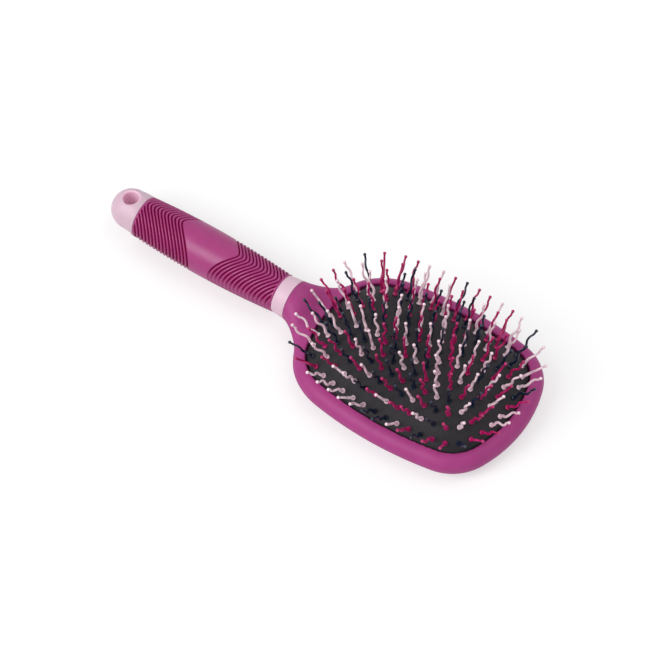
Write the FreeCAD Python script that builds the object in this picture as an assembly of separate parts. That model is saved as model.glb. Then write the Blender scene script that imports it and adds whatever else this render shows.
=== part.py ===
import FreeCAD, Part
import math
import os
from FreeCAD import Placement, Rotation, Vector

# Paddle detangling brush, lying on its back with the pins up, in millimetres.
# X runs along the handle from the hang hole to the head, and Z is up.
# The origin is in the middle of the length with the pins, on the surface that the brush lies on.

# Lengths along the brush, from the hang hole end
CAP_LENGTH = 18.0
GRIP_LENGTH = 84.0
COLLAR_LENGTH = 7.5
NECK_LENGTH = 17.8
OPENING_LENGTH = 110.2

# Head: a rim of rounded section round the opening that holds the cushion
OPENING_WIDTH = 78.2
WIDEST_AHEAD = 2.7
SIDE_RADIUS = 189.0
HANDLE_END_RADIUS = 61.0
HANDLE_CORNER_RADIUS = 23.0
FAR_END_RADIUS = 66.0
FAR_CORNER_RADIUS = 19.0
HEAD_THICKNESS = 14.5
RIM_FLAT = 0.9
RIM_TOP_RADIUS = 6.0
RIM_SIDE_RADIUS = 6.5
RIM_SIDE_TURN = 55.0
BACK_WALL = 3.5
NECK_RADIUS = 10.8
NECK_FLARE_END = 60.0
NECK_FLARE_STEPS = 6
NECK_BURIED = 0.8
NECK_TOP_SQUARENESS = 3.2
SECTION_POINTS = 24

# Cushion: a domed membrane with a skirt and a bead snapped under the rim
MEMBRANE = 1.6
CUSHION_GAP = 0.6
CUSHION_SUNK = 1.5
CROWN_RADIUS = 62.0
SHOULDER_RADIUS = 32.0
SHOULDER_INSET = 9.8
LIP_DEPTH = 5.0
BEAD_HEIGHT = 2.4
BEAD_REACH = 1.6
LEDGE_WIDTH = 3.0

# Pins, set square to the membrane in rings that follow the opening
FIRST_RING_INSET = 4.0
RING_STEP = 5.85
PIN_PITCH = 6.5
PIN_LENGTH = 18.3
PIN_OVERHANG = 1.5
PIN_ROOT_RADIUS = 0.82
PIN_SHAFT_RADIUS = 0.64
PIN_BALL_RADIUS = 0.88
PIN_FOOT_RADIUS = 1.25
PIN_FOOT_HEIGHT = 0.7
PIN_NECK_RADIUS = 0.8
PIN_HEAD_RADIUS = 1.5
PIN_HEAD_HEIGHT = 0.8
WAVE_HEIGHT = 0.8
WAVE_RADIUS = 5.1
WAVE_EASE_RADIUS = 1.2
WAVE_START = 3.0
PIN_TURN = 137.5
RING_TURN = 7

# Handle: a stiff core through the grip, with a flatted tang in the neck
GRIP_CAP_END_RADIUS = 11.1
GRIP_MIDDLE_RADIUS = 12.5
GRIP_MIDDLE_FROM_CAP = 39.0
GRIP_MIDDLE_ROUND = 14.0
GRIP_COLLAR_END_RADIUS = 10.4
COLLAR_GRIP_RADIUS = 10.0
CORE_RADIUS = 8.0
TANG_RADIUS = 5.0
TANG_FLAT = 3.8
TANG_LENGTH = 7.0
SPIGOT_LENGTH = 2.5
CAP_RADIUS = 10.4
CAP_LIP_RADIUS = 10.8
CAP_RISE = 0.85
CAP_LIP = 1.6
HANG_HOLE_RADIUS = 4.1
HANG_HOLE_FROM_TIP = 10.3
HOLE_EDGE_RADIUS = 0.8

# Chevron grooves at both ends of the grip
GROOVE_PITCH = 2.1
GROOVE_WIDTH = 1.05
GROOVE_DEPTH = 0.8
GROOVE_SWEEP = 0.98
GROOVE_APEX_RADIUS = 2.0
CAP_END_RIBBED = 23.0
CAP_END_ASIDE = 1.6
COLLAR_END_RIBBED = 26.2
GRIP_PLAIN_BAND = 1.5

# Clearances
MOVING_GAP = 0.15
HEAD_GAP = 0.3
SEAT_GAP = 0.05

# Colour order round each ring, from the far end towards +Y: light, crimson or navy
COLOURS = {"L": "light", "C": "crimson", "N": "navy"}
RING_ORDERS = (
    "CNLLLNLCLCCNCLLCCCNLCCLNLLNCLLLLLNNLCNCCNCCLLL",
    "CLCNLCCLNCLCLNCCLNLCNLCLCLLNCLCCLNCLCCLN",
    "LCNCLNCNCNCLNCLCCNLNCNCLNCNLCNCLNC",
    "NLCNLNLCNCNLCNLNCLNCNCNCLNCL",
    "CLNCLNLNLCNLNLCNLNCL",
    "LCNLCNLNLCNCLN",
    "CLNCL",
)

# Places that follow from the sizes
RIM_WIDTH = RIM_FLAT + RIM_TOP_RADIUS
HEAD_LENGTH = NECK_LENGTH + OPENING_LENGTH + RIM_WIDTH
OVERALL_LENGTH = CAP_LENGTH + GRIP_LENGTH + COLLAR_LENGTH + HEAD_LENGTH + PIN_OVERHANG
CAP_TIP_X = -OVERALL_LENGTH / 2
GRIP_X = CAP_TIP_X + CAP_LENGTH
COLLAR_X = GRIP_X + GRIP_LENGTH
NECK_X = COLLAR_X + COLLAR_LENGTH
OPENING_X = NECK_X + NECK_LENGTH
WIDEST_X = OPENING_X + OPENING_LENGTH / 2 + WIDEST_AHEAD
HALF_WIDTH = OPENING_WIDTH / 2
AXIS_Z = GRIP_MIDDLE_RADIUS
HOLE_X = CAP_TIP_X + HANG_HOLE_FROM_TIP
DOME_EDGE_Z = HEAD_THICKNESS - CUSHION_SUNK
BEAD_TOP_Z = HEAD_THICKNESS - LIP_DEPTH
BEAD_BOTTOM_Z = BEAD_TOP_Z - BEAD_HEIGHT


def at(x, radius, rise=0):
    """A point on the upper outline of the handle, at a radius from its axis or from a raised one."""
    return Vector(x, 0, AXIS_Z + rise + radius)


def line(start, end):
    return Part.LineSegment(start, end).toShape()


def arc(start, middle, end):
    return Part.Arc(start, middle, end).toShape()


def turned(edges, rise=0):
    """A solid of revolution about the handle's axis or a raised one, from the edges of its half section."""
    face = Part.Face(Part.Wire(edges))
    return face.revolve(Vector(0, 0, AXIS_Z + rise), Vector(1, 0, 0), 360)


def rod(x, length, radius):
    """A cylinder on the handle's axis."""
    return Part.makeCylinder(radius, length, Vector(x, 0, AXIS_Z), Vector(1, 0, 0))


def corner_centre(half_length, half_width, side_radius, end_radius, corner_radius):
    """Centre of the corner arc that touches the side arc and the end arc from inside."""
    side_y = half_width - side_radius
    end_x = half_length - end_radius
    side_reach = side_radius - corner_radius
    end_reach = end_radius - corner_radius
    apart = math.hypot(end_x, side_y)
    along = (side_reach ** 2 - end_reach ** 2 + apart ** 2) / (2 * apart)
    across = math.sqrt(side_reach ** 2 - along ** 2)
    unit_x = end_x / apart
    unit_y = -side_y / apart
    return unit_x * along + unit_y * across, side_y + unit_y * along - unit_x * across


def quarter_arcs(half_length, half_width, side_radius, end_radius, corner_radius):
    """Arcs from the end to the side of a quarter oval: centre x and y, radius, first and last angle."""
    x, y = corner_centre(half_length, half_width, side_radius, end_radius, corner_radius)
    end_x = half_length - end_radius
    side_y = half_width - side_radius
    end_angle = math.atan2(y, x - end_x)
    side_angle = math.atan2(y - side_y, x)
    return [
        (end_x, 0, end_radius, 0, end_angle),
        (x, y, corner_radius, end_angle, side_angle),
        (0, side_y, side_radius, side_angle, math.pi / 2),
    ]


def oval_arcs(inset):
    """Arcs of the opening's outline drawn in by an inset, from the far end round by +Y."""
    half_width = HALF_WIDTH - inset
    least_corner = half_width / 2
    ahead = OPENING_LENGTH / 2 - WIDEST_AHEAD - inset
    behind = OPENING_LENGTH / 2 + WIDEST_AHEAD - inset
    far = quarter_arcs(ahead, half_width, SIDE_RADIUS - inset, FAR_END_RADIUS - inset,
                       max(FAR_CORNER_RADIUS - inset, least_corner))
    near = quarter_arcs(behind, half_width, SIDE_RADIUS - inset, HANDLE_END_RADIUS - inset,
                        max(HANDLE_CORNER_RADIUS - inset, least_corner))
    half = list(far)
    for x, y, radius, first, last in reversed(near):
        half.append((-x, y, radius, math.pi - last, math.pi - first))
    other = [(x, -y, radius, -last, -first) for x, y, radius, first, last in reversed(half)]
    return half + other


def arc_point(piece, angle, z):
    x, y, radius = piece[:3]
    return Vector(WIDEST_X + x + radius * math.cos(angle), y + radius * math.sin(angle), z)


def oval(inset, z):
    """The opening's outline as a wire, drawn in by an inset, at a height."""
    edges = []
    for piece in oval_arcs(inset):
        first, last = piece[3:]
        middle = (first + last) / 2
        edges.append(arc(arc_point(piece, first, z), arc_point(piece, middle, z), arc_point(piece, last, z)))
    return Part.Wire(edges)


def slab(inset, bottom, top):
    """A flat plate with the opening's outline drawn in by an inset."""
    return Part.Face(oval(inset, bottom)).extrude(Vector(0, 0, top - bottom))


def places_round(inset, count):
    """Evenly spaced places on an oval: x, y and the direction pointing outwards."""
    pieces = oval_arcs(inset)
    lengths = [radius * (last - first) for x, y, radius, first, last in pieces]
    step = sum(lengths) / count
    places = []
    for number in range(count):
        rest = step * (number + 0.5)
        index = 0
        while rest > lengths[index]:
            rest -= lengths[index]
            index += 1
        angle = pieces[index][3] + rest / pieces[index][2]
        point = arc_point(pieces[index], angle, 0)
        places.append((point.x, point.y, angle))
    return places


def oval_length(inset):
    return sum(radius * (last - first) for x, y, radius, first, last in oval_arcs(inset))


def dome_slope(inset):
    """Sine of the membrane's slope at an inset from the opening."""
    if inset >= SHOULDER_INSET:
        return (HALF_WIDTH - inset) / CROWN_RADIUS
    return (HALF_WIDTH - SHOULDER_INSET) / CROWN_RADIUS + (SHOULDER_INSET - inset) / SHOULDER_RADIUS


def dome_height(inset):
    """Height of the membrane's outside at an inset, on a shoulder arc and a crown arc."""
    cosine = math.sqrt(1 - dome_slope(inset) ** 2)
    edge_cosine = math.sqrt(1 - dome_slope(CUSHION_GAP) ** 2)
    if inset < SHOULDER_INSET:
        return DOME_EDGE_Z + SHOULDER_RADIUS * (cosine - edge_cosine)
    join_cosine = math.sqrt(1 - dome_slope(SHOULDER_INSET) ** 2)
    shoulder = SHOULDER_RADIUS * (join_cosine - edge_cosine)
    return DOME_EDGE_Z + shoulder + CROWN_RADIUS * (cosine - join_cosine)


def ring_insets():
    """Insets of the pin rings that leave room for a row on the middle line."""
    insets = []
    inset = FIRST_RING_INSET
    while inset < HALF_WIDTH - RING_STEP / 2:
        insets.append(inset)
        inset += RING_STEP
    return insets


def dome(depth):
    """Solid under a surface that lies a depth below the membrane's outside."""
    steps = [CUSHION_GAP, FIRST_RING_INSET / 2] + ring_insets() + [HALF_WIDTH - RING_STEP / 2]
    wires = []
    for inset in steps:
        sine = dome_slope(inset)
        cosine = math.sqrt(1 - sine ** 2)
        wires.append(oval(inset + depth * sine, dome_height(inset) - depth * cosine))
    return Part.makeLoft(wires, True, False)


def rim_section():
    """Half section of the head at the far end: rim, rounded side and crowned back."""
    edge_x = OPENING_X + OPENING_LENGTH
    top = HEAD_THICKNESS
    turn = math.radians(RIM_SIDE_TURN)
    side_x = edge_x + RIM_WIDTH - RIM_SIDE_RADIUS
    side_z = top - RIM_TOP_RADIUS
    back_radius = (side_z - RIM_SIDE_RADIUS * math.sin(turn)) / (1 - math.sin(turn))
    back_x = side_x - (back_radius - RIM_SIDE_RADIUS) * math.cos(turn)
    back_turn = (turn + math.pi / 2) / 2

    def top_round(angle):
        return Vector(edge_x + RIM_FLAT + RIM_TOP_RADIUS * math.cos(angle), 0,
                      side_z + RIM_TOP_RADIUS * math.sin(angle))

    def side_round(angle):
        return Vector(side_x + RIM_SIDE_RADIUS * math.cos(angle), 0,
                      side_z - RIM_SIDE_RADIUS * math.sin(angle))

    def back_round(angle):
        return Vector(back_x + back_radius * math.cos(angle), 0, back_radius - back_radius * math.sin(angle))

    inner_top = Vector(back_x, 0, top)
    edges = [
        line(inner_top, top_round(math.pi / 2)),
        arc(top_round(math.pi / 2), top_round(math.pi / 4), top_round(0)),
        arc(top_round(0), side_round(turn / 2), side_round(turn)),
        arc(side_round(turn), back_round(back_turn), back_round(math.pi / 2)),
        line(back_round(math.pi / 2), inner_top),
    ]
    return Part.Wire(edges), edge_x - back_x


def neck_section(x, half_width, bottom, widest, top, squareness):
    """A closed curve across the neck: half an ellipse below its widest height, squarer above."""
    points = []
    for number in range(SECTION_POINTS):
        angle = 2 * math.pi * number / SECTION_POINTS
        across = math.cos(angle)
        up = math.sin(angle)
        power = 2 / squareness if up > 0 else 1
        reach = top - widest if up > 0 else widest - bottom
        y = half_width * math.copysign(abs(across) ** power, across)
        points.append(Vector(x, y, widest + reach * math.copysign(abs(up) ** power, up)))
    curve = Part.BSplineCurve()
    curve.interpolate(Points=points, PeriodicFlag=True)
    return Part.Wire(curve.toShape())


def neck():
    """The neck, flaring in an arc from the round collar to the corners of the head."""
    turn = math.radians(NECK_FLARE_END)
    corner = oval_arcs(NECK_BURIED - RIM_WIDTH)[4]
    end = arc_point(corner, math.pi / 2 + turn, 0)
    outward = Vector(-math.sin(turn), math.cos(turn), 0)
    apart = Vector(NECK_X, NECK_RADIUS, 0) - end
    flare_radius = apart.dot(apart) / (2 * outward.dot(apart))
    centre = end + outward * flare_radius
    top = AXIS_Z + NECK_RADIUS
    bottom = AXIS_Z - NECK_RADIUS
    head_widest = HEAD_THICKNESS - RIM_TOP_RADIUS
    wires = []
    for number in range(NECK_FLARE_STEPS + 1):
        share = number / NECK_FLARE_STEPS
        x = NECK_X + (end.x - NECK_X) * share
        half_width = centre.y - math.sqrt(flare_radius ** 2 - (x - centre.x) ** 2)
        fall = (1 - math.cos(math.pi * share)) / 2
        wires.append(neck_section(x, half_width, bottom - bottom * fall / 2,
                                  AXIS_Z + (head_widest - AXIS_Z) * fall,
                                  top + (HEAD_THICKNESS - NECK_BURIED / 2 - top) * fall,
                                  2 + (NECK_TOP_SQUARENESS - 2) * fall))
    wires.append(neck_section(end.x + NECK_BURIED, half_width, bottom / 2, head_widest,
                              HEAD_THICKNESS - NECK_BURIED, NECK_TOP_SQUARENESS))
    return Part.makeLoft(wires, True, False)


def flatted_rod(x, length, radius, flat):
    """A rod on the handle's axis with a flat on its underside."""
    whole = rod(x, length, radius)
    cutter = Part.makeBox(length, 2 * radius, radius, Vector(x, -radius, AXIS_Z - flat - radius))
    return whole.cut(cutter)


def head_shell():
    section, flat_inset = rim_section()
    rim = Part.BRepOffsetAPI.MakePipeShell(oval(0, HEAD_THICKNESS))
    rim.add(section)
    rim.build()
    rim.makeSolid()
    shell = rim.shape().fuse(slab(flat_inset, 0, HEAD_THICKNESS)).removeSplitter()
    shell = shell.fuse(neck())
    shell = shell.cut(slab(0, BEAD_BOTTOM_Z - SEAT_GAP, HEAD_THICKNESS + NECK_RADIUS))
    shell = shell.cut(slab(-BEAD_REACH - SEAT_GAP, BEAD_BOTTOM_Z - SEAT_GAP, BEAD_TOP_Z + SEAT_GAP))
    shell = shell.cut(slab(LEDGE_WIDTH, BACK_WALL, HEAD_THICKNESS))
    socket = flatted_rod(NECK_X, TANG_LENGTH + SEAT_GAP, TANG_RADIUS + SEAT_GAP, TANG_FLAT + SEAT_GAP)
    return shell.cut(socket)


def wave_path(length):
    """Centre line of a pin's shaft: straight, a bend to each side of the axis, then straight to the tip."""
    steep = math.acos(1 - WAVE_HEIGHT / WAVE_RADIUS)
    bends = [
        (steep, WAVE_EASE_RADIUS),
        (-steep, WAVE_RADIUS),
        (steep, WAVE_RADIUS),
        (0, WAVE_EASE_RADIUS),
    ]
    place = Vector(0, 0, WAVE_START)
    edges = [line(Vector(0, 0, MOVING_GAP), place)]
    tilt = 0
    for goal, radius in bends:
        reach = math.copysign(radius, goal - tilt)
        middle = (tilt + goal) / 2
        centre = place + Vector(math.cos(tilt), 0, -math.sin(tilt)) * reach
        bend_middle = centre - Vector(math.cos(middle), 0, -math.sin(middle)) * reach
        bend_end = centre - Vector(math.cos(goal), 0, -math.sin(goal)) * reach
        edges.append(arc(place, bend_middle, bend_end))
        place = bend_end
        tilt = goal
    tip = Vector(place.x, 0, length)
    edges.append(line(place, tip))
    return Part.Wire(edges), tip


def pin():
    """One pin along Z, with its foot on the membrane at the origin and its head underneath."""
    head_top = -MEMBRANE - HEAD_GAP
    head = Part.makeCylinder(PIN_HEAD_RADIUS, PIN_HEAD_HEIGHT, Vector(0, 0, head_top - PIN_HEAD_HEIGHT))
    stem = Part.makeCylinder(PIN_NECK_RADIUS, MOVING_GAP - head_top, Vector(0, 0, head_top))
    foot = Part.makeCone(PIN_FOOT_RADIUS, PIN_ROOT_RADIUS, PIN_FOOT_HEIGHT, Vector(0, 0, MOVING_GAP))
    root_z = MOVING_GAP + PIN_FOOT_HEIGHT
    root = Part.makeCone(PIN_ROOT_RADIUS, PIN_SHAFT_RADIUS, WAVE_START - root_z, Vector(0, 0, root_z))
    path, tip = wave_path(PIN_LENGTH - PIN_BALL_RADIUS)
    shaft = Part.BRepOffsetAPI.MakePipeShell(path)
    shaft.add(Part.Wire(Part.makeCircle(PIN_SHAFT_RADIUS, Vector(0, 0, MOVING_GAP), Vector(0, 0, 1))))
    shaft.build()
    shaft.makeSolid()
    ball = Part.makeSphere(PIN_BALL_RADIUS, tip)
    return head.fuse([stem, foot, root, shaft.shape(), ball])


def pin_places():
    """Rings of pins, each its inset from the opening and its places, with a row on the middle line last."""
    rings = []
    for inset in ring_insets():
        count = round(oval_length(inset) / PIN_PITCH)
        rings.append((inset, places_round(inset, count)))
    row_half = OPENING_LENGTH / 2 - HALF_WIDTH
    row_count = 2 * round(row_half / PIN_PITCH) + 1
    middle = OPENING_X + OPENING_LENGTH / 2
    row = [(middle + (number - row_count // 2) * PIN_PITCH, 0, 0) for number in range(row_count)]
    rings.append((HALF_WIDTH, row))
    return rings


def pin_placement(inset, place, number):
    """Placement of a pin square to the membrane, turned about its own axis by its number."""
    x, y, outward = place
    lean = math.degrees(math.asin(dome_slope(inset)))
    swing = Rotation(Vector(0, 0, 1), math.degrees(outward))
    tilt = Rotation(Vector(0, 1, 0), lean)
    turn = Rotation(Vector(0, 0, 1), PIN_TURN * number)
    return Placement(Vector(x, y, dome_height(inset)), swing * tilt * turn)


def cushion():
    """The domed membrane with its skirt and bead, and a hole for the neck of each pin."""
    outside = dome(0).fuse([
        slab(CUSHION_GAP, BEAD_BOTTOM_Z, DOME_EDGE_Z),
        slab(-BEAD_REACH, BEAD_BOTTOM_Z, BEAD_TOP_Z),
    ])
    inside = dome(MEMBRANE).fuse(slab(CUSHION_GAP + MEMBRANE, BEAD_BOTTOM_Z, DOME_EDGE_Z - MEMBRANE))
    shell = outside.cut(inside)
    holes = []
    for inset, places in pin_places():
        for number, place in enumerate(places):
            hole = Part.makeCylinder(PIN_NECK_RADIUS + MOVING_GAP, 4 * MEMBRANE, Vector(0, 0, -2 * MEMBRANE))
            hole.Placement = pin_placement(inset, place, number)
            holes.append(hole)
    return shell.cut(holes)


def pin_groups():
    """Pins of each ring and colour, as groups of separate solids."""
    master = pin()
    groups = {}
    for ring, (inset, places) in enumerate(pin_places()):
        order = RING_ORDERS[min(ring, len(RING_ORDERS) - 1)]
        for number, place in enumerate(places):
            colour = COLOURS[order[number % len(order)]]
            copy = master.copy()
            copy.Placement = pin_placement(inset, place, number + RING_TURN * ring)
            groups.setdefault(f"pins_ring{ring + 1}_{colour}", []).append(copy)
    return groups


def handle_core():
    body = rod(GRIP_X, GRIP_LENGTH, CORE_RADIUS)
    spigot = rod(GRIP_X - SPIGOT_LENGTH, SPIGOT_LENGTH, TANG_RADIUS)
    tang = flatted_rod(COLLAR_X, COLLAR_LENGTH + TANG_LENGTH, TANG_RADIUS, TANG_FLAT)
    return body.fuse([spigot, tang]).removeSplitter()


def grip_outline(depth):
    """Half section of the grip, drawn in by a depth: two tapers that meet in a round middle."""
    start = at(GRIP_X, GRIP_CAP_END_RADIUS - depth)
    peak = at(GRIP_X + GRIP_MIDDLE_FROM_CAP, GRIP_MIDDLE_RADIUS - depth)
    end = at(COLLAR_X, GRIP_COLLAR_END_RADIUS - depth)
    back = (start - peak).normalize()
    ahead = (end - peak).normalize()
    half_angle = math.acos(back.dot(ahead)) / 2
    tangent = GRIP_MIDDLE_ROUND / 2
    drop = tangent / math.cos(half_angle) - tangent * math.tan(half_angle)
    middle = peak + (back + ahead).normalize() * drop
    round_start = peak + back * tangent
    round_end = peak + ahead * tangent
    axis_start = at(GRIP_X, 0)
    axis_end = at(COLLAR_X, 0)
    return [
        line(axis_start, start),
        line(start, round_start),
        arc(round_start, middle, round_end),
        line(round_end, end),
        line(end, axis_end),
        line(axis_end, axis_start),
    ]


def chevron(apex_x, direction, aside):
    """A bent plate that runs back from a round apex to both sides, set aside from the middle line."""
    slant = math.hypot(1, GROOVE_SWEEP)
    length = (GRIP_MIDDLE_RADIUS + GROOVE_DEPTH + aside) * slant
    centre_x = apex_x + direction * GROOVE_APEX_RADIUS

    def place(back, across):
        return Vector(centre_x + direction * back, across + aside, 0)

    def bend(radius):
        """Ends and middle of one edge's bend, and the far ends of its two branches."""
        back = -radius / slant
        across = radius * GROOVE_SWEEP / slant
        run_back = back + length * GROOVE_SWEEP / slant
        run_across = across + length / slant
        return (place(run_back, run_across), place(back, across), place(-radius, 0),
                place(back, -across), place(run_back, -run_across))

    outer = bend(GROOVE_APEX_RADIUS + GROOVE_WIDTH / 2)
    inner = bend(GROOVE_APEX_RADIUS - GROOVE_WIDTH / 2)
    edges = []
    for far_left, left, apex, right, far_right in (outer, inner):
        edges += [line(far_left, left), arc(left, apex, right), line(right, far_right)]
    edges += [line(outer[0], inner[0]), line(outer[4], inner[4])]
    face = Part.Face(Part.Wire(Part.sortEdges(edges)[0]))
    return face.extrude(Vector(0, 0, AXIS_Z + length))


def grip_sleeve():
    sleeve = turned(grip_outline(0))
    under = turned(grip_outline(GROOVE_DEPTH))
    sweep = GROOVE_SWEEP * GRIP_MIDDLE_RADIUS
    grooves = []
    apex = GRIP_X + CAP_END_RIBBED
    while apex > GRIP_X - sweep - CAP_END_ASIDE:
        grooves.append(chevron(apex, 1, CAP_END_ASIDE))
        apex -= GROOVE_PITCH
    apex = COLLAR_X - COLLAR_END_RIBBED
    while apex < COLLAR_X + sweep:
        grooves.append(chevron(apex, -1, 0))
        apex += GROOVE_PITCH
    ribs = sleeve.cut([under] + grooves)
    cap_band = sleeve.common(rod(GRIP_X, GRIP_PLAIN_BAND, 2 * GRIP_MIDDLE_RADIUS))
    collar_band = sleeve.common(rod(COLLAR_X - GRIP_PLAIN_BAND, GRIP_PLAIN_BAND, 2 * GRIP_MIDDLE_RADIUS))
    bore = rod(GRIP_X, GRIP_LENGTH, CORE_RADIUS + SEAT_GAP)
    return under.fuse([ribs, cap_band, collar_band]).cut(bore)


def collar():
    corners = [
        at(COLLAR_X, TANG_RADIUS + SEAT_GAP),
        at(COLLAR_X, COLLAR_GRIP_RADIUS),
        at(NECK_X, NECK_RADIUS),
        at(NECK_X, TANG_RADIUS + SEAT_GAP),
    ]
    edges = [line(corners[index - 1], corners[index]) for index in range(4)]
    return turned(edges)


def end_cap():
    """A round-ended lug, a little above the handle's axis, with a lip against the grip and a hang hole."""
    lip_x = GRIP_X - CAP_LIP
    round_x = CAP_TIP_X + CAP_RADIUS
    slope = CAP_RADIUS * math.sqrt(0.5)
    tip = at(CAP_TIP_X, 0, CAP_RISE)
    round_start = at(round_x, CAP_RADIUS, CAP_RISE)
    lip_middle = at(lip_x, 0, CAP_RISE)
    lip_edge = at(lip_x, CAP_LIP_RADIUS, CAP_RISE)
    lug = turned([
        line(lip_middle, lip_edge),
        line(lip_edge, round_start),
        arc(round_start, at(round_x - slope, slope, CAP_RISE), tip),
        line(tip, lip_middle),
    ], CAP_RISE)
    hole_bottom = Vector(HOLE_X, 0, AXIS_Z - 2 * CAP_RADIUS)
    lug = lug.cut(Part.makeCylinder(HANG_HOLE_RADIUS, 4 * CAP_RADIUS, hole_bottom))
    mouths = []
    for edge in lug.Edges:
        reaches = [math.hypot(vertex.X - HOLE_X, vertex.Y) for vertex in edge.Vertexes]
        on_hole = all(abs(reach - HANG_HOLE_RADIUS) < SEAT_GAP for reach in reaches)
        if on_hole and edge.BoundBox.ZLength < CAP_RADIUS:
            mouths.append(edge)
    lug = lug.makeFillet(HOLE_EDGE_RADIUS, mouths)
    cap = lug.fuse(rod(lip_x, CAP_LIP, GRIP_CAP_END_RADIUS))
    return cap.cut(rod(GRIP_X - SPIGOT_LENGTH - SEAT_GAP, SPIGOT_LENGTH + SEAT_GAP, TANG_RADIUS + SEAT_GAP))


def main():
    pieces = {
        "head_shell": head_shell(),
        "cushion": cushion(),
        "handle_core": handle_core(),
        "grip_sleeve": grip_sleeve(),
        "collar": collar(),
        "end_cap": end_cap(),
    }
    for name, pins in pin_groups().items():
        pieces[name] = Part.makeCompound(pins)
    os.makedirs("parts", exist_ok=True)
    for name, shape in pieces.items():
        shape.exportStep(f"parts/{name}.step")
        print(name, "solids", len(shape.Solids), "valid", shape.isValid(), "volume", round(shape.Volume, 1))
    for ring, (inset, places) in enumerate(pin_places()):
        height = dome_height(inset) - DOME_EDGE_Z
        print("ring", ring + 1, "pins", len(places), "height over the edge", round(height, 3))
    print("box", Part.makeCompound(list(pieces.values())).BoundBox)


main()
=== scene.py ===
import math
import random

import bpy
import numpy
from mathutils import Matrix, Vector
from mathutils.kdtree import KDTree


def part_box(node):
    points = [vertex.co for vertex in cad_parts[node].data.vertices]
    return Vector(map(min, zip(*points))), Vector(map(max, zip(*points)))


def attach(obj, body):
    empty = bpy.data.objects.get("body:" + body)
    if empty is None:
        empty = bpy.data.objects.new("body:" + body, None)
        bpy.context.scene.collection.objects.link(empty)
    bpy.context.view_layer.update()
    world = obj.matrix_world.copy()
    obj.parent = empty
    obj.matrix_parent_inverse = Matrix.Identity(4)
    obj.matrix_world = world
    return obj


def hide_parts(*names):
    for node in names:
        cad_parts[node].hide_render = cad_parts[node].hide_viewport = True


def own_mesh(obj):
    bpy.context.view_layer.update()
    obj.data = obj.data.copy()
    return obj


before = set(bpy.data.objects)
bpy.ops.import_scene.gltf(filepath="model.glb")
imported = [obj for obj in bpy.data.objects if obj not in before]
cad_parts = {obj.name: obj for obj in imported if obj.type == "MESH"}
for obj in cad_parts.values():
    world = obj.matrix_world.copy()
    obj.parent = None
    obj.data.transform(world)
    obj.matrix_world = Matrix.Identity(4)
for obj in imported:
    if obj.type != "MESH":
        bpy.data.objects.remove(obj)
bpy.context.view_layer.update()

# Visual model of a paddle detangling brush. Lengths are in millimetres until a mesh is made.
MM = 0.001

# Places of the head and the grip along the brush, from the frame
head_low, head_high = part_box("head_shell")
grip_low, grip_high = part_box("grip_sleeve")
NECK_X = head_low[0] / MM
HEAD_END_X = head_high[0] / MM
GRIP_START_X = grip_low[0] / MM
CAP_TIP_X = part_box("end_cap")[0][0] / MM
GRIP_END_X = grip_high[0] / MM

# Head and cushion outline
RIM_WIDTH = 6.9
OPENING_LENGTH = 110.2
OPENING_X = HEAD_END_X - RIM_WIDTH - OPENING_LENGTH
OPENING_WIDTH = 78.2
WIDEST_AHEAD = 2.7
SIDE_RADIUS = 189.0
HANDLE_END_RADIUS = 61.0
HANDLE_CORNER_RADIUS = 23.0
FAR_END_RADIUS = 66.0
FAR_CORNER_RADIUS = 19.0
HALF_WIDTH = OPENING_WIDTH / 2
WIDEST_X = OPENING_X + OPENING_LENGTH / 2 + WIDEST_AHEAD

# Cushion
CUSHION_GAP = 0.6
DOME_EDGE_Z = 13.0
SKIRT_BOTTOM_Z = 9.6
MEMBRANE = 1.6
CROWN_RADIUS = 62.0
SHOULDER_RADIUS = 32.0
SHOULDER_INSET = 9.8
EDGE_ROUND = 0.5
EDGE_INSET = 0.1
CROWN_LINE_GAP = 0.5
CUSHION_STEPS = 44
CUSHION_AROUND = 320

# Pins
FIRST_RING_INSET = 4.0
RING_STEP = 5.85
PIN_PITCH = 6.5
PIN_LENGTH = 18.3
PIN_TURN = 137.5
RING_TURN = 7
WAVE_HEIGHT = 0.8
WAVE_RADIUS = 5.1
WAVE_EASE_RADIUS = 1.2
WAVE_START = 3.0
TIP_RADIUS = 0.84
FOOT_LIFT = 0.15
TIP_STEPS = 6
PIN_SIDES = 14
WAVE_STEP = 0.18
LEAST_WAVE_STEPS = 3
PIN_SWAY = 1.5
PIN_SEED = 4
PIN_STOPS = (
    (FOOT_LIFT, 1.2), (0.3, 1.3), (0.6, 1.3), (0.85, 1.12), (1.1, 0.9), (1.5, 0.8), (2.0, 0.76),
    (WAVE_START, 0.73), (8.0, 0.63), (12.0, 0.56), (PIN_LENGTH, 0.52),
)
COLOURS = {"L": "light", "C": "crimson", "N": "navy"}
RING_ORDERS = (
    "CNLLLNLCLCCNCLLCCCNLCCLNLLNCLLLLLNNLCNCCNCCLLL",
    "CLCNLCCLNCLCLNCCLNLCNLCLCLLNCLCCLNCLCCLN",
    "LCNCLNCNCNCLNCLCCNLNCNCLNCNLCNCLNC",
    "NLCNLNLCNCNLCNLNCLNCNCNCLNCL",
    "CLNCLNLNLCNLNLCNLNCL",
    "LCNLCNLNLCNCLN",
    "CLNCL",
)

# Head: fineness of its mesh, passes that even it out, and where the neck is blended into the rim
HEAD_VOXEL = 0.55
EVEN_PASSES = 8
EVEN_IN = 0.5
EVEN_OUT = 0.53
BLEND_PASSES = 160
BLEND_STEP = 0.5
BLEND_END_X = OPENING_X + 24
BLEND_END_FADE = 14
BLEND_RIM_GAP = 1.2
BLEND_RIM_FADE = 2.8
BLEND_NECK_GAP = 0.4
BLEND_NECK_FADE = 2.0
OUTLINE_POINTS = 900

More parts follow.
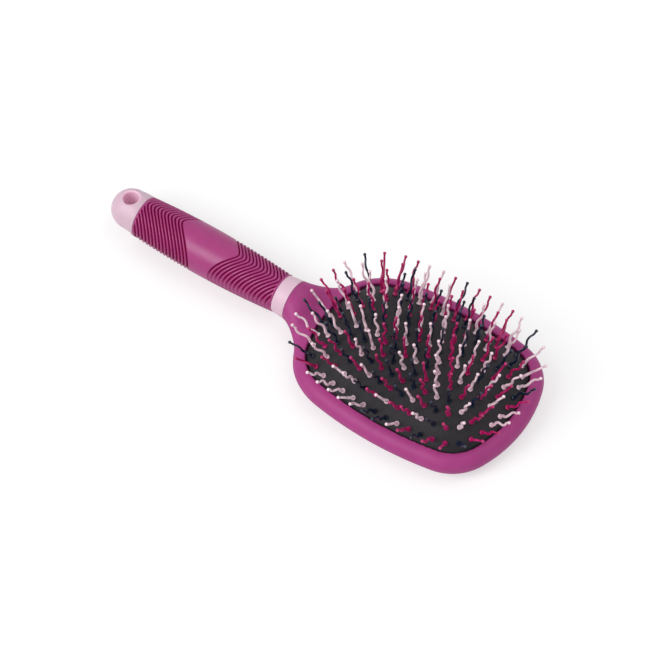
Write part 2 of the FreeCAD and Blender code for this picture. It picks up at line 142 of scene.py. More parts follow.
# End cap: its mesh, the blend into its lip, and the painted light on the wall of its hang hole
CAP_VOXEL = 0.3
LIP_PASSES = 60
LIP_BLEND_START = 5.5
LIP_BLEND_FADE = 2.5
LIP_FACE_GAP = 0.2
LIP_FACE_FADE = 0.6
HOLE_X = CAP_TIP_X + 10.3
HOLE_RADIUS = 4.1
HOLE_LIGHT_REACH = 0.9
HOLE_LIGHT_FADE = 0.7

# Grip
GRIP_PEAK_X = GRIP_START_X + 36.5
GRIP_PEAK_RADIUS = 12.45
GRIP_CAP_CURVE = 0.00108
GRIP_COLLAR_CURVE = 0.00096
GRIP_BORE_RADIUS = 8.05
GRIP_EDGE_ROUND = 0.5
GRIP_EDGE = ((0.0, 1.0), (0.15, 0.5), (0.5, 0.15))
GRIP_ROWS = 620
GRIP_AROUND = 300
AXIS_Z = 12.5
GROOVE_PITCH = 2.1
GROOVE_DEPTH = 0.9
GROOVE_SWEEP = 0.98
GROOVE_APEX = 2.0
GROOVE_WALL = 0.42
CAP_END_RIBBED = 22.95
CAP_END_ASIDE = 1.6
CAP_GROOVE_WIDTH = 0.72
COLLAR_END_RIBBED = 26.2
COLLAR_GROOVE_WIDTH = 0.58
PLAIN_BAND = 0.7
GROOVE_FADE = 0.7

# How the grooves ease with height over the grip's axis, as a share of its radius: start, span and least share
UNDERSIDE_EASE = (-0.85, 0.35, 0.0)
CAP_FAR_SIDE_EASE = (0.6, 0.3, 0.4)
# The collar end's painted groove shade eases off on the near lower side, where more light reaches it
COLLAR_NEAR_SHADE_EASE = (-0.05, 0.55, 0.2)
COLLAR_NEAR_DEPTH_EASE = (-0.1, 0.5, 0.55)

# Materials: the middle range of a noise, and the fine grains in metres
NOISE_LOW = 0.3
NOISE_HIGH = 0.7
FINE_GRAIN = 0.00003
GRIP_GRAIN = 0.00004
CUSHION_GRAIN = 0.00008
TRIM_EDGE = 0.0006

# Room, in metres and watts
FLOOR_REACH = 3.0
FLOOR_DROP = 0.0004
FLOOR_GLOW = 0.54
FLOOR_SEEN = (0.5, 0.5, 0.5, 1.0)
FLOOR_COLOUR = (0.8, 0.8, 0.8, 1.0)
WHITE = (1.0, 1.0, 1.0, 1.0)
ROOM_STRENGTH = 0.55
KEY_PLACE = (-1.0, -2.0, 2.0)
KEY_SIZE = 1.8
KEY_POWER = 46.0
FILL_PLACE = (0.8, 0.9, 2.6)
FILL_SIZE = 2.0
FILL_POWER = 14.0

# Camera, from the vanishing lines of the photograph
IMAGE_SIZE = 665
VIEW_AZIMUTH = 34.390
VIEW_ELEVATION = 54.578
VIEW_DISTANCE = 3000.0
VIEW_SCALE = 2.0345
VIEW_POINT = (HEAD_END_X - RIM_WIDTH - 50.0, 0.0, 14.5)
VIEW_POINT_PIXEL = (425.27, 370.91)
SENSOR = 36.0
CLIP_END = 50.0


def linear(red, green, blue):
    """Linear colour from sRGB values of 0 to 255."""
    result = []
    for value in (red, green, blue):
        share = value / 255
        result.append(share / 12.92 if share <= 0.04045 else ((share + 0.055) / 1.055) ** 2.4)
    return (*result, 1.0)


# Outline of the opening

def corner_centre(half_length, half_width, side_radius, end_radius, corner_radius):
    side_y = half_width - side_radius
    end_x = half_length - end_radius
    side_reach = side_radius - corner_radius
    end_reach = end_radius - corner_radius
    apart = math.hypot(end_x, side_y)
    along = (side_reach ** 2 - end_reach ** 2 + apart ** 2) / (2 * apart)
    across = math.sqrt(max(side_reach ** 2 - along ** 2, 0))
    unit_x = end_x / apart
    unit_y = -side_y / apart
    return unit_x * along + unit_y * across, side_y + unit_y * along - unit_x * across


def quarter_arcs(half_length, half_width, side_radius, end_radius, corner_radius):
    x, y = corner_centre(half_length, half_width, side_radius, end_radius, corner_radius)
    end_x = half_length - end_radius
    side_y = half_width - side_radius
    end_angle = math.atan2(y, x - end_x)
    side_angle = math.atan2(y - side_y, x)
    return [
        (end_x, 0, end_radius, 0, end_angle),
        (x, y, corner_radius, end_angle, side_angle),
        (0, side_y, side_radius, side_angle, math.pi / 2),
    ]


def oval_arcs(inset):
    """Arcs of the opening's outline drawn in by an inset, from the far end round by +Y."""
    half_width = HALF_WIDTH - inset
    least_corner = half_width / 2
    ahead = OPENING_LENGTH / 2 - WIDEST_AHEAD - inset
    behind = OPENING_LENGTH / 2 + WIDEST_AHEAD - inset
    far = quarter_arcs(ahead, half_width, SIDE_RADIUS - inset, FAR_END_RADIUS - inset,
                       max(FAR_CORNER_RADIUS - inset, least_corner))
    near = quarter_arcs(behind, half_width, SIDE_RADIUS - inset, HANDLE_END_RADIUS - inset,
                        max(HANDLE_CORNER_RADIUS - inset, least_corner))
    half = list(far)
    for x, y, radius, first, last in reversed(near):
        half.append((-x, y, radius, math.pi - last, math.pi - first))
    other = [(x, -y, radius, -last, -first) for x, y, radius, first, last in reversed(half)]
    return half + other


def oval_length(inset):
    return sum(radius * (last - first) for x, y, radius, first, last in oval_arcs(inset))


def places_round(inset, count):
    """Evenly spaced places on an oval: x, y and the direction pointing outwards."""
    pieces = oval_arcs(inset)
    lengths = [radius * (last - first) for x, y, radius, first, last in pieces]
    step = sum(lengths) / count
    places = []
    for number in range(count):
        rest = step * (number + 0.5)
        index = 0
        while index < len(lengths) - 1 and rest > lengths[index]:
            rest -= lengths[index]
            index += 1
        x, y, radius, first = pieces[index][:4]
        angle = first + rest / radius
        places.append((WIDEST_X + x + radius * math.cos(angle), y + radius * math.sin(angle), angle))
    return places


def dome_slope(inset):
    """Sine of the membrane's slope at an inset from the opening."""
    if inset >= SHOULDER_INSET:
        return (HALF_WIDTH - inset) / CROWN_RADIUS
    return (HALF_WIDTH - SHOULDER_INSET) / CROWN_RADIUS + (SHOULDER_INSET - inset) / SHOULDER_RADIUS


def dome_height(inset):
    cosine = math.sqrt(1 - dome_slope(inset) ** 2)
    edge_cosine = math.sqrt(1 - dome_slope(CUSHION_GAP) ** 2)
    if inset < SHOULDER_INSET:
        return DOME_EDGE_Z + SHOULDER_RADIUS * (cosine - edge_cosine)
    join_cosine = math.sqrt(1 - dome_slope(SHOULDER_INSET) ** 2)
    shoulder = SHOULDER_RADIUS * (join_cosine - edge_cosine)
    return DOME_EDGE_Z + shoulder + CROWN_RADIUS * (cosine - join_cosine)


def smooth_step(share):
    share = min(max(share, 0.0), 1.0)
    return share * share * (3 - 2 * share)


# Making meshes

def add_mesh(name, points, faces):
    """A smooth mesh object from points in millimetres."""
    mesh = bpy.data.meshes.new(name)
    mesh.from_pydata([Vector(point) * MM for point in points], [], faces)
    mesh.validate()
    mesh.polygons.foreach_set("use_smooth", [True] * len(mesh.polygons))
    mesh.update()
    piece = bpy.data.objects.new(name, mesh)
    bpy.context.scene.collection.objects.link(piece)
    return piece


def ring_faces(first, second, count):
    """Quads between two rings of points that start at these numbers."""
    faces = []
    for number in range(count):
        following = (number + 1) % count
        faces.append((first + number, first + following, second + following, second + number))
    return faces


# Cushion

def cushion_piece():
    """The domed membrane with its skirt, as a closed shell."""
    skirt = [
        (CUSHION_GAP, SKIRT_BOTTOM_Z),
        (CUSHION_GAP, DOME_EDGE_Z - EDGE_ROUND),
        (CUSHION_GAP + EDGE_INSET, DOME_EDGE_Z - EDGE_INSET),
    ]
    last_inset = HALF_WIDTH - CROWN_LINE_GAP
    dome = []
    for number in range(1, CUSHION_STEPS + 1):
        inset = CUSHION_GAP + (last_inset - CUSHION_GAP) * number / CUSHION_STEPS
        dome.append((inset, dome_height(inset)))
    inner = [(CUSHION_GAP + MEMBRANE, SKIRT_BOTTOM_Z)]
    for inset, z in dome[::3]:
        draw = MEMBRANE * dome_slope(inset) / dome_slope(CUSHION_GAP)
        if inset + draw < last_inset:
            inner.append((inset + draw, z - MEMBRANE))
    points = []
    faces = []

    def add_rows(rows, flip):
        starts = []
        for inset, z in rows:
            starts.append(len(points))
            points.extend((x, y, z) for x, y, angle in places_round(inset, CUSHION_AROUND))
        made = []
        for first, second in zip(starts, starts[1:]):
            made += ring_faces(first, second, CUSHION_AROUND)
        top = starts[-1]
        for number in range(CUSHION_AROUND // 2 - 1):
            opposite = CUSHION_AROUND - 1 - number
            made.append((top + number, top + number + 1, top + opposite - 1, top + opposite))
        faces.extend(tuple(reversed(face)) if flip else face for face in made)
        return starts[0]

    outside = add_rows(skirt + dome, False)
    inside = add_rows(inner, True)
    faces.extend(ring_faces(inside, outside, CUSHION_AROUND))
    return add_mesh("rubber_cushion", points, faces)


# Pins

def wave_line(length):
    """Points and tilts along a pin's centre line: straight, a bend to each side, then straight to the tip."""
    steep = math.acos(1 - WAVE_HEIGHT / WAVE_RADIUS)
    samples = [(0.0, z, 0.0) for z, radius in PIN_STOPS if z <= WAVE_START]
    x, z, tilt = samples[-1]
    for goal, radius in ((steep, WAVE_EASE_RADIUS), (-steep, WAVE_RADIUS), (steep, WAVE_RADIUS),
                         (0.0, WAVE_EASE_RADIUS)):
        reach = math.copysign(radius, goal - tilt)
        centre_x = x + math.cos(tilt) * reach
        centre_z = z - math.sin(tilt) * reach
        steps = max(LEAST_WAVE_STEPS, round(abs(goal - tilt) / WAVE_STEP))
        for number in range(1, steps + 1):
            angle = tilt + (goal - tilt) * number / steps
            samples.append((centre_x - math.cos(angle) * reach, centre_z + math.sin(angle) * reach, angle))
        x, z, tilt = samples[-1]
    samples.append((x, length, 0.0))
    return samples


def pin_radius(z):
    """Radius of a pin at a height: a round foot, then a shaft that tapers towards the tip."""
    for (low, first), (high, second) in zip(PIN_STOPS, PIN_STOPS[1:]):
        if z <= high:
            return first + (second - first) * (z - low) / (high - low)
    return PIN_STOPS[-1][1]


def pin_template():
    """Points and faces of one pin along Z with its foot at the origin."""
    samples = wave_line(PIN_LENGTH - TIP_RADIUS)
    rings = [(x, z, tilt, pin_radius(z)) for x, z, tilt in samples]
    end_x, end_z, end_tilt, end_radius = rings.pop()
    start = math.asin(end_radius / TIP_RADIUS)
    for number in range(TIP_STEPS):
        angle = start + (math.pi - start) * number / TIP_STEPS
        along = -TIP_RADIUS * math.cos(angle)
        rings.append((end_x + along * math.sin(end_tilt), end_z + along * math.cos(end_tilt), end_tilt,
                      TIP_RADIUS * math.sin(angle)))
    points = []
    faces = []
    for x, z, tilt, radius in rings:
        for number in range(PIN_SIDES):
            turn = 2 * math.pi * number / PIN_SIDES
            across = radius * math.cos(turn)
            points.append((x + across * math.cos(tilt), radius * math.sin(turn), z - across * math.sin(tilt)))
    for index in range(len(rings) - 1):
        faces += ring_faces(index * PIN_SIDES, (index + 1) * PIN_SIDES, PIN_SIDES)
    tip = len(points)
    points.append((end_x + TIP_RADIUS * math.sin(end_tilt), 0, end_z + TIP_RADIUS * math.cos(end_tilt)))
    last = (len(rings) - 1) * PIN_SIDES
    faces += [(last + number, last + (number + 1) % PIN_SIDES, tip) for number in range(PIN_SIDES)]
    faces.append(tuple(range(PIN_SIDES - 1, -1, -1)))
    return points, faces


def pin_rings():
    """Insets and places of the pin rings, and of the row on the middle line."""
    rings = []
    inset = FIRST_RING_INSET
    while inset < HALF_WIDTH - RING_STEP / 2:
        rings.append((inset, places_round(inset, round(oval_length(inset) / PIN_PITCH))))
        inset += RING_STEP
    row_count = 2 * round((OPENING_LENGTH / 2 - HALF_WIDTH) / PIN_PITCH) + 1
    middle = OPENING_X + OPENING_LENGTH / 2
    row = [(middle + (number - row_count // 2) * PIN_PITCH, 0, 0) for number in range(row_count)]
    rings.append((HALF_WIDTH, row))
    return rings


def pin_pieces():
    """One piece for each ring and colour of pins, by the CAD node that it stands for."""
    template_points, template_faces = pin_template()
    template = [Vector(point) for point in template_points]
    chance = random.Random(PIN_SEED)
    groups = {}
    for ring, (inset, places) in enumerate(pin_rings()):
        lean = math.asin(dome_slope(inset))
        order = RING_ORDERS[ring]
        for number, (x, y, outward) in enumerate(places):
            node = f"pins_ring{ring + 1}_{COLOURS[order[number % len(order)]]}"
            points, faces = groups.setdefault(node, ([], []))
            sway = Matrix.Rotation(math.radians(chance.uniform(-PIN_SWAY, PIN_SWAY)), 3, "X")
            nod = Matrix.Rotation(lean + math.radians(chance.uniform(-PIN_SWAY, PIN_SWAY)), 3, "Y")
            swing = Matrix.Rotation(outward, 3, "Z")
            turn = Matrix.Rotation(math.radians(PIN_TURN * (number + RING_TURN * ring)), 3, "Z")
            matrix = swing @ nod @ sway @ turn
            foot = Vector((x, y, dome_height(inset)))
            first = len(points)
            points.extend(foot + matrix @ point for point in template)
            faces.extend(tuple(first + index for index in face) for face in template_faces)
    return {node: add_mesh("visual_" + node, points, faces) for node, (points, faces) in groups.items()}


# Head and end cap

def neighbour_means(places, ends, counts):
    """Mean place of each point's neighbours."""
    means = numpy.empty_like(places)
    for axis in range(3):
        total = numpy.bincount(ends[:, 0], places[ends[:, 1], axis], len(places))
        means[:, axis] = total / counts
    return means


def blend_weights(places):
    """Where the neck runs into the rim: 1 in the middle of the join and 0 away from it."""
    outline = KDTree(OUTLINE_POINTS)
    for index, (x, y, angle) in enumerate(places_round(0, OUTLINE_POINTS)):
        outline.insert((x, y, 0), index)
    outline.balance()
    weights = numpy.zeros(len(places))
    for index, (x, y, z) in enumerate(places):
        if x < BLEND_END_X:
            near, found, distance = outline.find((x, y, 0))
            outside = math.hypot(x - WIDEST_X, y) > math.hypot(near.x - WIDEST_X, near.y)
            if outside:
                off_rim = smooth_step((distance - BLEND_RIM_GAP) / BLEND_RIM_FADE)
                off_head = smooth_step((BLEND_END_X - x) / BLEND_END_FADE)
                off_neck = smooth_step((x - NECK_X - BLEND_NECK_GAP) / BLEND_NECK_FADE)
                weights[index] = off_rim * off_head * off_neck
    return weights


def lip_weights(places):
    """Where the end cap meets its lip: 1 in the crease and 0 away from it and at the lip's face."""
    weights = numpy.zeros(len(places))
    for index, (x, y, z) in enumerate(places):
        off_tip = smooth_step((x - GRIP_START_X + LIP_BLEND_START) / LIP_BLEND_FADE)
        off_face = smooth_step((GRIP_START_X - LIP_FACE_GAP - x) / LIP_FACE_FADE)
        weights[index] = off_tip * off_face
    return weights


def evened_piece(name, source, voxel, weights_of, passes):
    """A piece from its solid, evened out, with a crease blended where the weights are."""
    copy = source.copy()
    copy.data = source.data.copy()
    bpy.context.scene.collection.objects.link(copy)
    remesh = copy.modifiers.new("remesh", "REMESH")
    remesh.mode = "VOXEL"
    remesh.voxel_size = voxel * MM
    bpy.context.view_layer.update()
    mesh = bpy.data.meshes.new_from_object(copy.evaluated_get(bpy.context.evaluated_depsgraph_get()))
    mesh.transform(source.matrix_world)
    bpy.data.objects.remove(copy)
    places = numpy.empty(len(mesh.vertices) * 3)
    mesh.vertices.foreach_get("co", places)
    places = places.reshape(-1, 3) / MM
    edges = numpy.empty(len(mesh.edges) * 2, dtype=numpy.int64)
    mesh.edges.foreach_get("vertices", edges)
    edges = edges.reshape(-1, 2)
    ends = numpy.concatenate([edges, edges[:, ::-1]])
    counts = numpy.maximum(numpy.bincount(ends[:, 0], minlength=len(places)), 1)
    for number in range(EVEN_PASSES):
        places += EVEN_IN * (neighbour_means(places, ends, counts) - places)
        places -= EVEN_OUT * (neighbour_means(places, ends, counts) - places)
    weights = weights_of(places)[:, None]
    for number in range(passes):
        places += BLEND_STEP * weights * (neighbour_means(places, ends, counts) - places)
    mesh.vertices.foreach_set("co", (places * MM).ravel())
    mesh.polygons.foreach_set("use_smooth", [True] * len(mesh.polygons))
    mesh.update()
    piece = bpy.data.objects.new(name, mesh)
    bpy.context.scene.collection.objects.link(piece)
    return piece, places


def head_piece(source):
    return evened_piece("moulded_head", source, HEAD_VOXEL, blend_weights, BLEND_PASSES)[0]


def cap_piece(source):
    """The end cap, with the share of each point that is on the wall of the hang hole kept for its material's
    painted light.
    """
    piece, places = evened_piece("moulded_end_cap", source, CAP_VOXEL, lip_weights, LIP_PASSES)
    reach = numpy.hypot(places[:, 0] - HOLE_X, places[:, 1])
    layer = piece.data.attributes.new("hole", "FLOAT", "POINT")
    # Painted light: the share of painted light on the wall of the hang hole
    hole_light = (HOLE_RADIUS + HOLE_LIGHT_REACH - reach) / HOLE_LIGHT_FADE
    layer.data.foreach_set("value", numpy.clip(hole_light, 0.0, 1.0))
    return piece


# Grip

def grip_radius(x):
    offset = x - GRIP_PEAK_X
    curve = GRIP_CAP_CURVE if offset < 0 else GRIP_COLLAR_CURVE
    return GRIP_PEAK_RADIUS - curve * offset ** 2


def eased(rise, start, span, least):
    """Share of a groove that is left at a height: least under the start, and whole past the span."""
    return least + (1 - least) * smooth_step((rise - start) / span)


def groove_share(x, y, rise):
    """Depth of the chevron grooves at a place, and the painted shade in them: 0 on a rib and 1 at a groove's
    bottom.

    x and y are the place in plan and rise is its height over the axis as a share of the radius.
    """
    deepest = 0.0
    painted_shade = 0.0
    ends = ((GRIP_START_X + CAP_END_RIBBED, 1, CAP_END_ASIDE, CAP_GROOVE_WIDTH),
            (GRIP_END_X - COLLAR_END_RIBBED, -1, 0.0, COLLAR_GROOVE_WIDTH))
    for apex, direction, aside, width in ends:
        round_off = GROOVE_APEX * GROOVE_SWEEP
        across = math.hypot(y - aside, round_off)
        back = GROOVE_SWEEP * (across - round_off)
        slope = GROOVE_SWEEP * abs(y - aside) / across
        behind = direction * (apex - x) + back
        number = max(round(behind / GROOVE_PITCH), 0)
        distance = abs(behind - number * GROOVE_PITCH) / math.hypot(1, slope)
        depth = smooth_step((width / 2 + GROOVE_WALL / 2 - distance) / GROOVE_WALL)
        depth *= eased(rise, *UNDERSIDE_EASE)
        # Painted shade in the grooves follows their depth; on the collar end's near side it eases off lower
        # down, where more light reaches
        dark = depth
        if direction > 0 and y > 0:
            depth *= eased(rise, *CAP_FAR_SIDE_EASE)
            dark = depth
        elif direction < 0 and y < 0:
            dark *= eased(rise, *COLLAR_NEAR_SHADE_EASE)
            depth *= eased(rise, *COLLAR_NEAR_DEPTH_EASE)
        deepest = max(deepest, depth)
        painted_shade = max(painted_shade, dark)
    from_end = smooth_step((min(x - GRIP_START_X, GRIP_END_X - x) - PLAIN_BAND) / GROOVE_FADE)
    return deepest * from_end, painted_shade * from_end


def grip_rows():
    """Places along the sleeve and their radii: a rounded edge at each end, then the bore."""
    start_radius = grip_radius(GRIP_START_X)
    end_radius = grip_radius(GRIP_END_X)
    rows = []
    for along, drop in GRIP_EDGE:
        rows.append((GRIP_START_X + along * GRIP_EDGE_ROUND, start_radius - drop * GRIP_EDGE_ROUND))
    first_x = GRIP_START_X + GRIP_EDGE_ROUND
    last_x = GRIP_END_X - GRIP_EDGE_ROUND
    for number in range(GRIP_ROWS + 1):
        x = first_x + (last_x - first_x) * number / GRIP_ROWS
        rows.append((x, grip_radius(x)))
    for along, drop in reversed(GRIP_EDGE):
        rows.append((GRIP_END_X - along * GRIP_EDGE_ROUND, end_radius - drop * GRIP_EDGE_ROUND))
    rows.append((GRIP_END_X, GRIP_BORE_RADIUS))
    rows.append((GRIP_START_X, GRIP_BORE_RADIUS))
    return rows


def grip_piece():
    """The ribbed grip sleeve, with each point's share of painted groove shade kept for its material."""
    rows = grip_rows()
    points = []
    painted_shades = []
    for x, radius in rows:
        for number in range(GRIP_AROUND):
            turn = 2 * math.pi * number / GRIP_AROUND
            across = radius * math.cos(turn)
            depth, dark = 0.0, 0.0
            if radius > GRIP_BORE_RADIUS:
                depth, dark = groove_share(x, across, math.sin(turn))
            reach = radius - GROOVE_DEPTH * depth
            points.append((x, reach * math.cos(turn), AXIS_Z + reach * math.sin(turn)))
            painted_shades.append(dark)
    faces = []
    for index in range(len(rows)):
        following = (index + 1) % len(rows)
        faces += ring_faces(following * GRIP_AROUND, index * GRIP_AROUND, GRIP_AROUND)
    piece = add_mesh("ribbed_grip", points, faces)
    layer = piece.data.attributes.new("groove", "FLOAT", "POINT")
    layer.data.foreach_set("value", painted_shades)
    return piece


# Materials

def new_material(name):
    material = bpy.data.materials.new(name)
    material.use_nodes = True
    shader = material.node_tree.nodes["Principled BSDF"]
    return material, material.node_tree, shader


def link(tree, source, target):
    tree.links.new(source, target)


def noise(tree, scale, detail=3.0, roughness=0.55):
    """Noise over the object's own coordinates, scale in features per metre."""
    place = tree.nodes.new("ShaderNodeTexCoord")
    made = tree.nodes.new("ShaderNodeTexNoise")
    made.inputs["Scale"].default_value = scale
    made.inputs["Detail"].default_value = detail
    made.inputs["Roughness"].default_value = roughness
    link(tree, place.outputs["Object"], made.inputs["Vector"])
    return made.outputs["Fac"]


def colour_mix(tree, share, first, second):
    """A mix of two colours, each a colour or a socket, by a socket."""
    made = tree.nodes.new("ShaderNodeMix")
    made.data_type = "RGBA"
    link(tree, share, made.inputs["Factor"])
    for socket, value in ((made.inputs[6], first), (made.inputs[7], second)):
        if isinstance(value, tuple):
            socket.default_value = value
        else:
            link(tree, value, socket)
    return made.outputs[2]


def ranged(tree, value, low, high, to_low, to_high):
    made = tree.nodes.new("ShaderNodeMapRange")
    link(tree, value, made.inputs["Value"])
    for name, number in (("From Min", low), ("From Max", high), ("To Min", to_low), ("To Max", to_high)):
        made.inputs[name].default_value = number
    return made.outputs["Result"]


def bump(tree, height, strength, distance, normal=None):
    made = tree.nodes.new("ShaderNodeBump")
    made.inputs["Strength"].default_value = strength
    made.inputs["Distance"].default_value = distance
    link(tree, height, made.inputs["Height"])
    if normal is not None:
        link(tree, normal, made.inputs["Normal"])
    return made.outputs["Normal"]


def bevel(tree, radius):
    made = tree.nodes.new("ShaderNodeBevel")
    made.samples = 8
    made.inputs["Radius"].default_value = radius
    return made.outputs["Normal"]


def drifting(tree, scale, dark, light):
    """A colour that drifts slowly between two."""
    slow = noise(tree, scale, 2.0)
    return colour_mix(tree, ranged(tree, slow, NOISE_LOW, NOISE_HIGH, 0.0, 1.0), dark, light)


def grain(tree, shader, fine, roughness, spread, strength, distance, normal=None):
    """Uneven gloss and a fine relief, both from one noise."""
    gloss = ranged(tree, fine, NOISE_LOW, NOISE_HIGH, roughness - spread, roughness + spread)
    link(tree, gloss, shader.inputs["Roughness"])
    link(tree, bump(tree, fine, strength, distance, normal), shader.inputs["Normal"])


def attribute(tree, name):
    made = tree.nodes.new("ShaderNodeAttribute")
    made.attribute_name = name
    return made.outputs["Fac"]


def moulded(name, dark, light, roughness, grain_scale, distance, specular=0.5, edge=None):
    """Moulded plastic or rubber: slow colour variation, fine grain and uneven gloss."""
    material, tree, shader = new_material(name)
    link(tree, drifting(tree, 90.0, dark, light), shader.inputs["Base Color"])
    fine = noise(tree, grain_scale, 4.0, 0.6)
    rounded = bevel(tree, edge) if edge else None
    grain(tree, shader, fine, roughness, 0.06, 0.35, distance, rounded)
    shader.inputs["Specular IOR Level"].default_value = specular
    return material


def grip_material():
    """Soft rubber with painted shade at the bottom of the grooves: a darker crimson colour there, and less
    gloss.
    """
    material, tree, shader = new_material("grip_rubber")
    body = drifting(tree, 120.0, linear(157, 44, 113), linear(163, 50, 119))
    depth = ranged(tree, attribute(tree, "groove"), 0.1, 0.75, 0.0, 1.0)
    # Painted shade: the colour goes to a dark crimson at the bottom of the grooves
    link(tree, colour_mix(tree, depth, body, linear(130, 8, 66)), shader.inputs["Base Color"])
    link(tree, ranged(tree, depth, 0.0, 1.0, 0.5, 0.02), shader.inputs["Specular IOR Level"])
    grain(tree, shader, noise(tree, 3200.0, 4.0, 0.6), 0.4, 0.06, 0.3, GRIP_GRAIN)
    return material


def cap_material():
    """The trim's plastic, with painted light on the wall of the hang hole: a lighter, rosier colour there that
    stands in for light falling on and through the wall.
    """
    material, tree, shader = new_material("cap_plastic")
    # Same plastic as the collar, but a slightly darker colour: painted shade that evens out the extra light the
    # cap gets
    body = drifting(tree, 90.0, linear(209, 178, 193), linear(215, 185, 200))
    # Painted light: the wall of the hang hole is given a lighter, rosier colour
    hole_lit_colour = colour_mix(tree, attribute(tree, "hole"), body, linear(243, 203, 222))
    link(tree, hole_lit_colour, shader.inputs["Base Color"])
    grain(tree, shader, noise(tree, 2600.0, 4.0, 0.6), 0.45, 0.05, 0.35, FINE_GRAIN)
    shader.inputs["Subsurface Weight"].default_value = 0.3
    shader.inputs["Subsurface Radius"].default_value = (1.0, 0.55, 0.75)
    shader.inputs["Subsurface Scale"].default_value = 0.004
    return material


def pin_material(name, base, pale, roughness):
    """Glossy nylon, a little different from pin to pin."""
    material, tree, shader = new_material(name)
    geometry = tree.nodes.new("ShaderNodeNewGeometry")
    link(tree, colour_mix(tree, geometry.outputs["Random Per Island"], base, pale), shader.inputs["Base Color"])
    grain(tree, shader, noise(tree, 1500.0, 2.0), roughness, 0.05, 0.15, FINE_GRAIN)
    return material


# Light, floor and camera

def area_light(name, place, size, power):
    """A round soft light that points at the middle of the brush."""
    lamp = bpy.data.lights.new(name, "AREA")
    lamp.shape = "DISK"
    lamp.size = size
    lamp.energy = power
    made = bpy.data.objects.new(name, lamp)
    made.location = place
    made.rotation_euler = (-Vector(place)).to_track_quat("-Z", "Y").to_euler()
    bpy.context.scene.collection.objects.link(made)


def background_rays(tree):
    """1 for the rays that look at the background: from the camera, in reflections and through glass."""
    path = tree.nodes.new("ShaderNodeLightPath")
    total = path.outputs["Is Camera Ray"]
    for name in ("Is Glossy Ray", "Is Transmission Ray"):
        larger = tree.nodes.new("ShaderNodeMath")
        larger.operation = "MAXIMUM"
        link(tree, total, larger.inputs[0])
        link(tree, path.outputs[name], larger.inputs[1])
        total = larger.outputs[0]
    return total


def floor_piece():
    """A pale floor that looks white away from the brush and keeps its shadow."""
    corners = [(FLOOR_REACH * x, FLOOR_REACH * y, 0) for x, y in ((-1, -1), (1, -1), (1, 1), (-1, 1))]
    mesh = bpy.data.meshes.new("floor")
    mesh.from_pydata(corners, [], [(0, 1, 2, 3)])
    made = bpy.data.objects.new("floor", mesh)
    made.location.z = -FLOOR_DROP
    bpy.context.scene.collection.objects.link(made)
    material, tree, shader = new_material("pale_floor")
    seen = background_rays(tree)
    link(tree, colour_mix(tree, seen, FLOOR_COLOUR, FLOOR_SEEN), shader.inputs["Base Color"])
    shader.inputs["Emission Color"].default_value = WHITE
    link(tree, ranged(tree, seen, 0.0, 1.0, 0.0, FLOOR_GLOW), shader.inputs["Emission Strength"])
    shader.inputs["Roughness"].default_value = 1.0
    shader.inputs["Specular IOR Level"].default_value = 0.0
    mesh.materials.append(material)
    return made


def set_world(strength):
    """A plain white room that rays from the camera, reflections and glass see as white."""
    world = bpy.data.worlds.new("studio")
    world.use_nodes = True
    tree = world.node_tree
    backdrop = tree.nodes["Background"]
    backdrop.inputs["Color"].default_value = WHITE
    link(tree, ranged(tree, background_rays(tree), 0.0, 1.0, strength, 1.0), backdrop.inputs["Strength"])
    bpy.context.scene.world = world


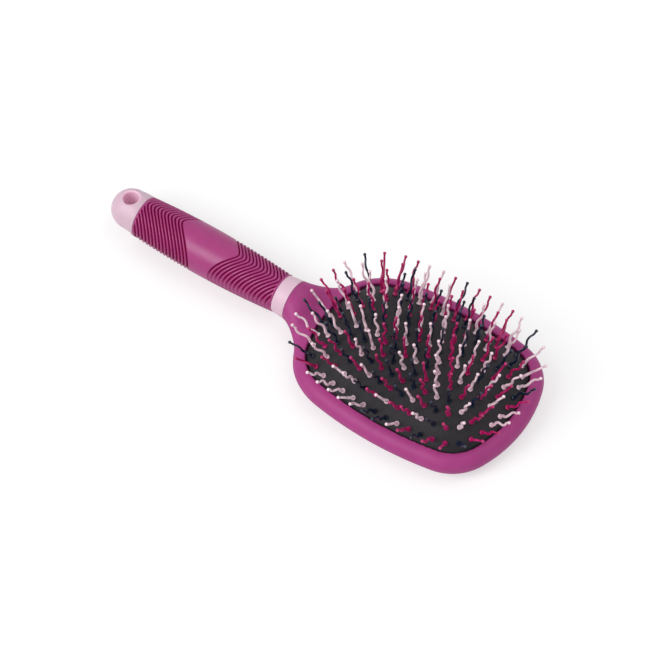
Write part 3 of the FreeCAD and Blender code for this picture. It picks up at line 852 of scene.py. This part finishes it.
def set_camera():
    azimuth = math.radians(VIEW_AZIMUTH)
    elevation = math.radians(VIEW_ELEVATION)
    back = Vector((math.sin(azimuth) * math.cos(elevation), -math.cos(azimuth) * math.cos(elevation),
                   math.sin(elevation)))
    right = Vector((math.cos(azimuth), math.sin(azimuth), 0))
    up = back.cross(right)
    aside = (VIEW_POINT_PIXEL[0] - IMAGE_SIZE / 2) / VIEW_SCALE
    down = (VIEW_POINT_PIXEL[1] - IMAGE_SIZE / 2) / VIEW_SCALE
    place = Vector(VIEW_POINT) + back * VIEW_DISTANCE - right * aside + up * down
    camera = bpy.data.cameras.new("camera")
    camera.sensor_width = SENSOR
    camera.lens = VIEW_SCALE * VIEW_DISTANCE * SENSOR / IMAGE_SIZE
    camera.clip_end = CLIP_END
    made = bpy.data.objects.new("camera", camera)
    turn = Matrix((right, up, back)).transposed().to_4x4()
    made.matrix_world = Matrix.Translation(place * MM) @ turn
    bpy.context.scene.collection.objects.link(made)
    bpy.context.scene.camera = made


def dress(piece, material):
    piece.data.materials.clear()
    piece.data.materials.append(material)


def main():
    head = moulded("head_plastic", linear(161, 50, 122), linear(168, 57, 129), 0.54, 2600.0, FINE_GRAIN, 0.4)
    # The collar's colour is a little lighter than the end cap's of the same plastic: painted light for the
    # shade it stands in beside the neck
    trim = moulded("trim_plastic", linear(218, 184, 201), linear(224, 191, 207), 0.45, 2600.0, FINE_GRAIN,
                   edge=TRIM_EDGE)
    rubber = moulded("cushion_rubber", linear(38, 37, 40), linear(48, 46, 50), 0.62, 3600.0, CUSHION_GRAIN, 0.2)
    core = moulded("core_plastic", linear(60, 58, 60), linear(70, 68, 70), 0.5, 2000.0, FINE_GRAIN)
    pins = {
        "light": pin_material("pin_light_nylon", linear(238, 204, 218), linear(249, 224, 233), 0.3),
        "crimson": pin_material("pin_crimson_nylon", linear(168, 10, 88), linear(186, 24, 106), 0.3),
        "navy": pin_material("pin_navy_nylon", linear(3, 20, 42), linear(8, 32, 58), 0.28),
    }
    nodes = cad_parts
    shell = head_piece(nodes["head_shell"])
    dress(shell, head)
    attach(shell, "brush")
    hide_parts("head_shell")
    cap = cap_piece(nodes["end_cap"])
    dress(cap, cap_material())
    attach(cap, "brush")
    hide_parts("end_cap")
    dress(nodes["collar"], trim)
    dress(nodes["handle_core"], core)

    cushion = cushion_piece()
    dress(cushion, rubber)
    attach(cushion, "brush")
    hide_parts("cushion")
    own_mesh(cushion)

    for name, piece in pin_pieces().items():
        colour = name.split("_")[-1]
        dress(piece, pins[colour])
        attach(piece, "pin_" + name.split("_")[1])
        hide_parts(name)

    grip = grip_piece()
    dress(grip, grip_material())
    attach(grip, "brush")
    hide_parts("grip_sleeve")

    floor_piece()
    set_world(ROOM_STRENGTH)
    area_light("key", KEY_PLACE, KEY_SIZE, KEY_POWER)
    area_light("fill", FILL_PLACE, FILL_SIZE, FILL_POWER)
    set_camera()
    bpy.context.scene.view_settings.view_transform = "Standard"


main()
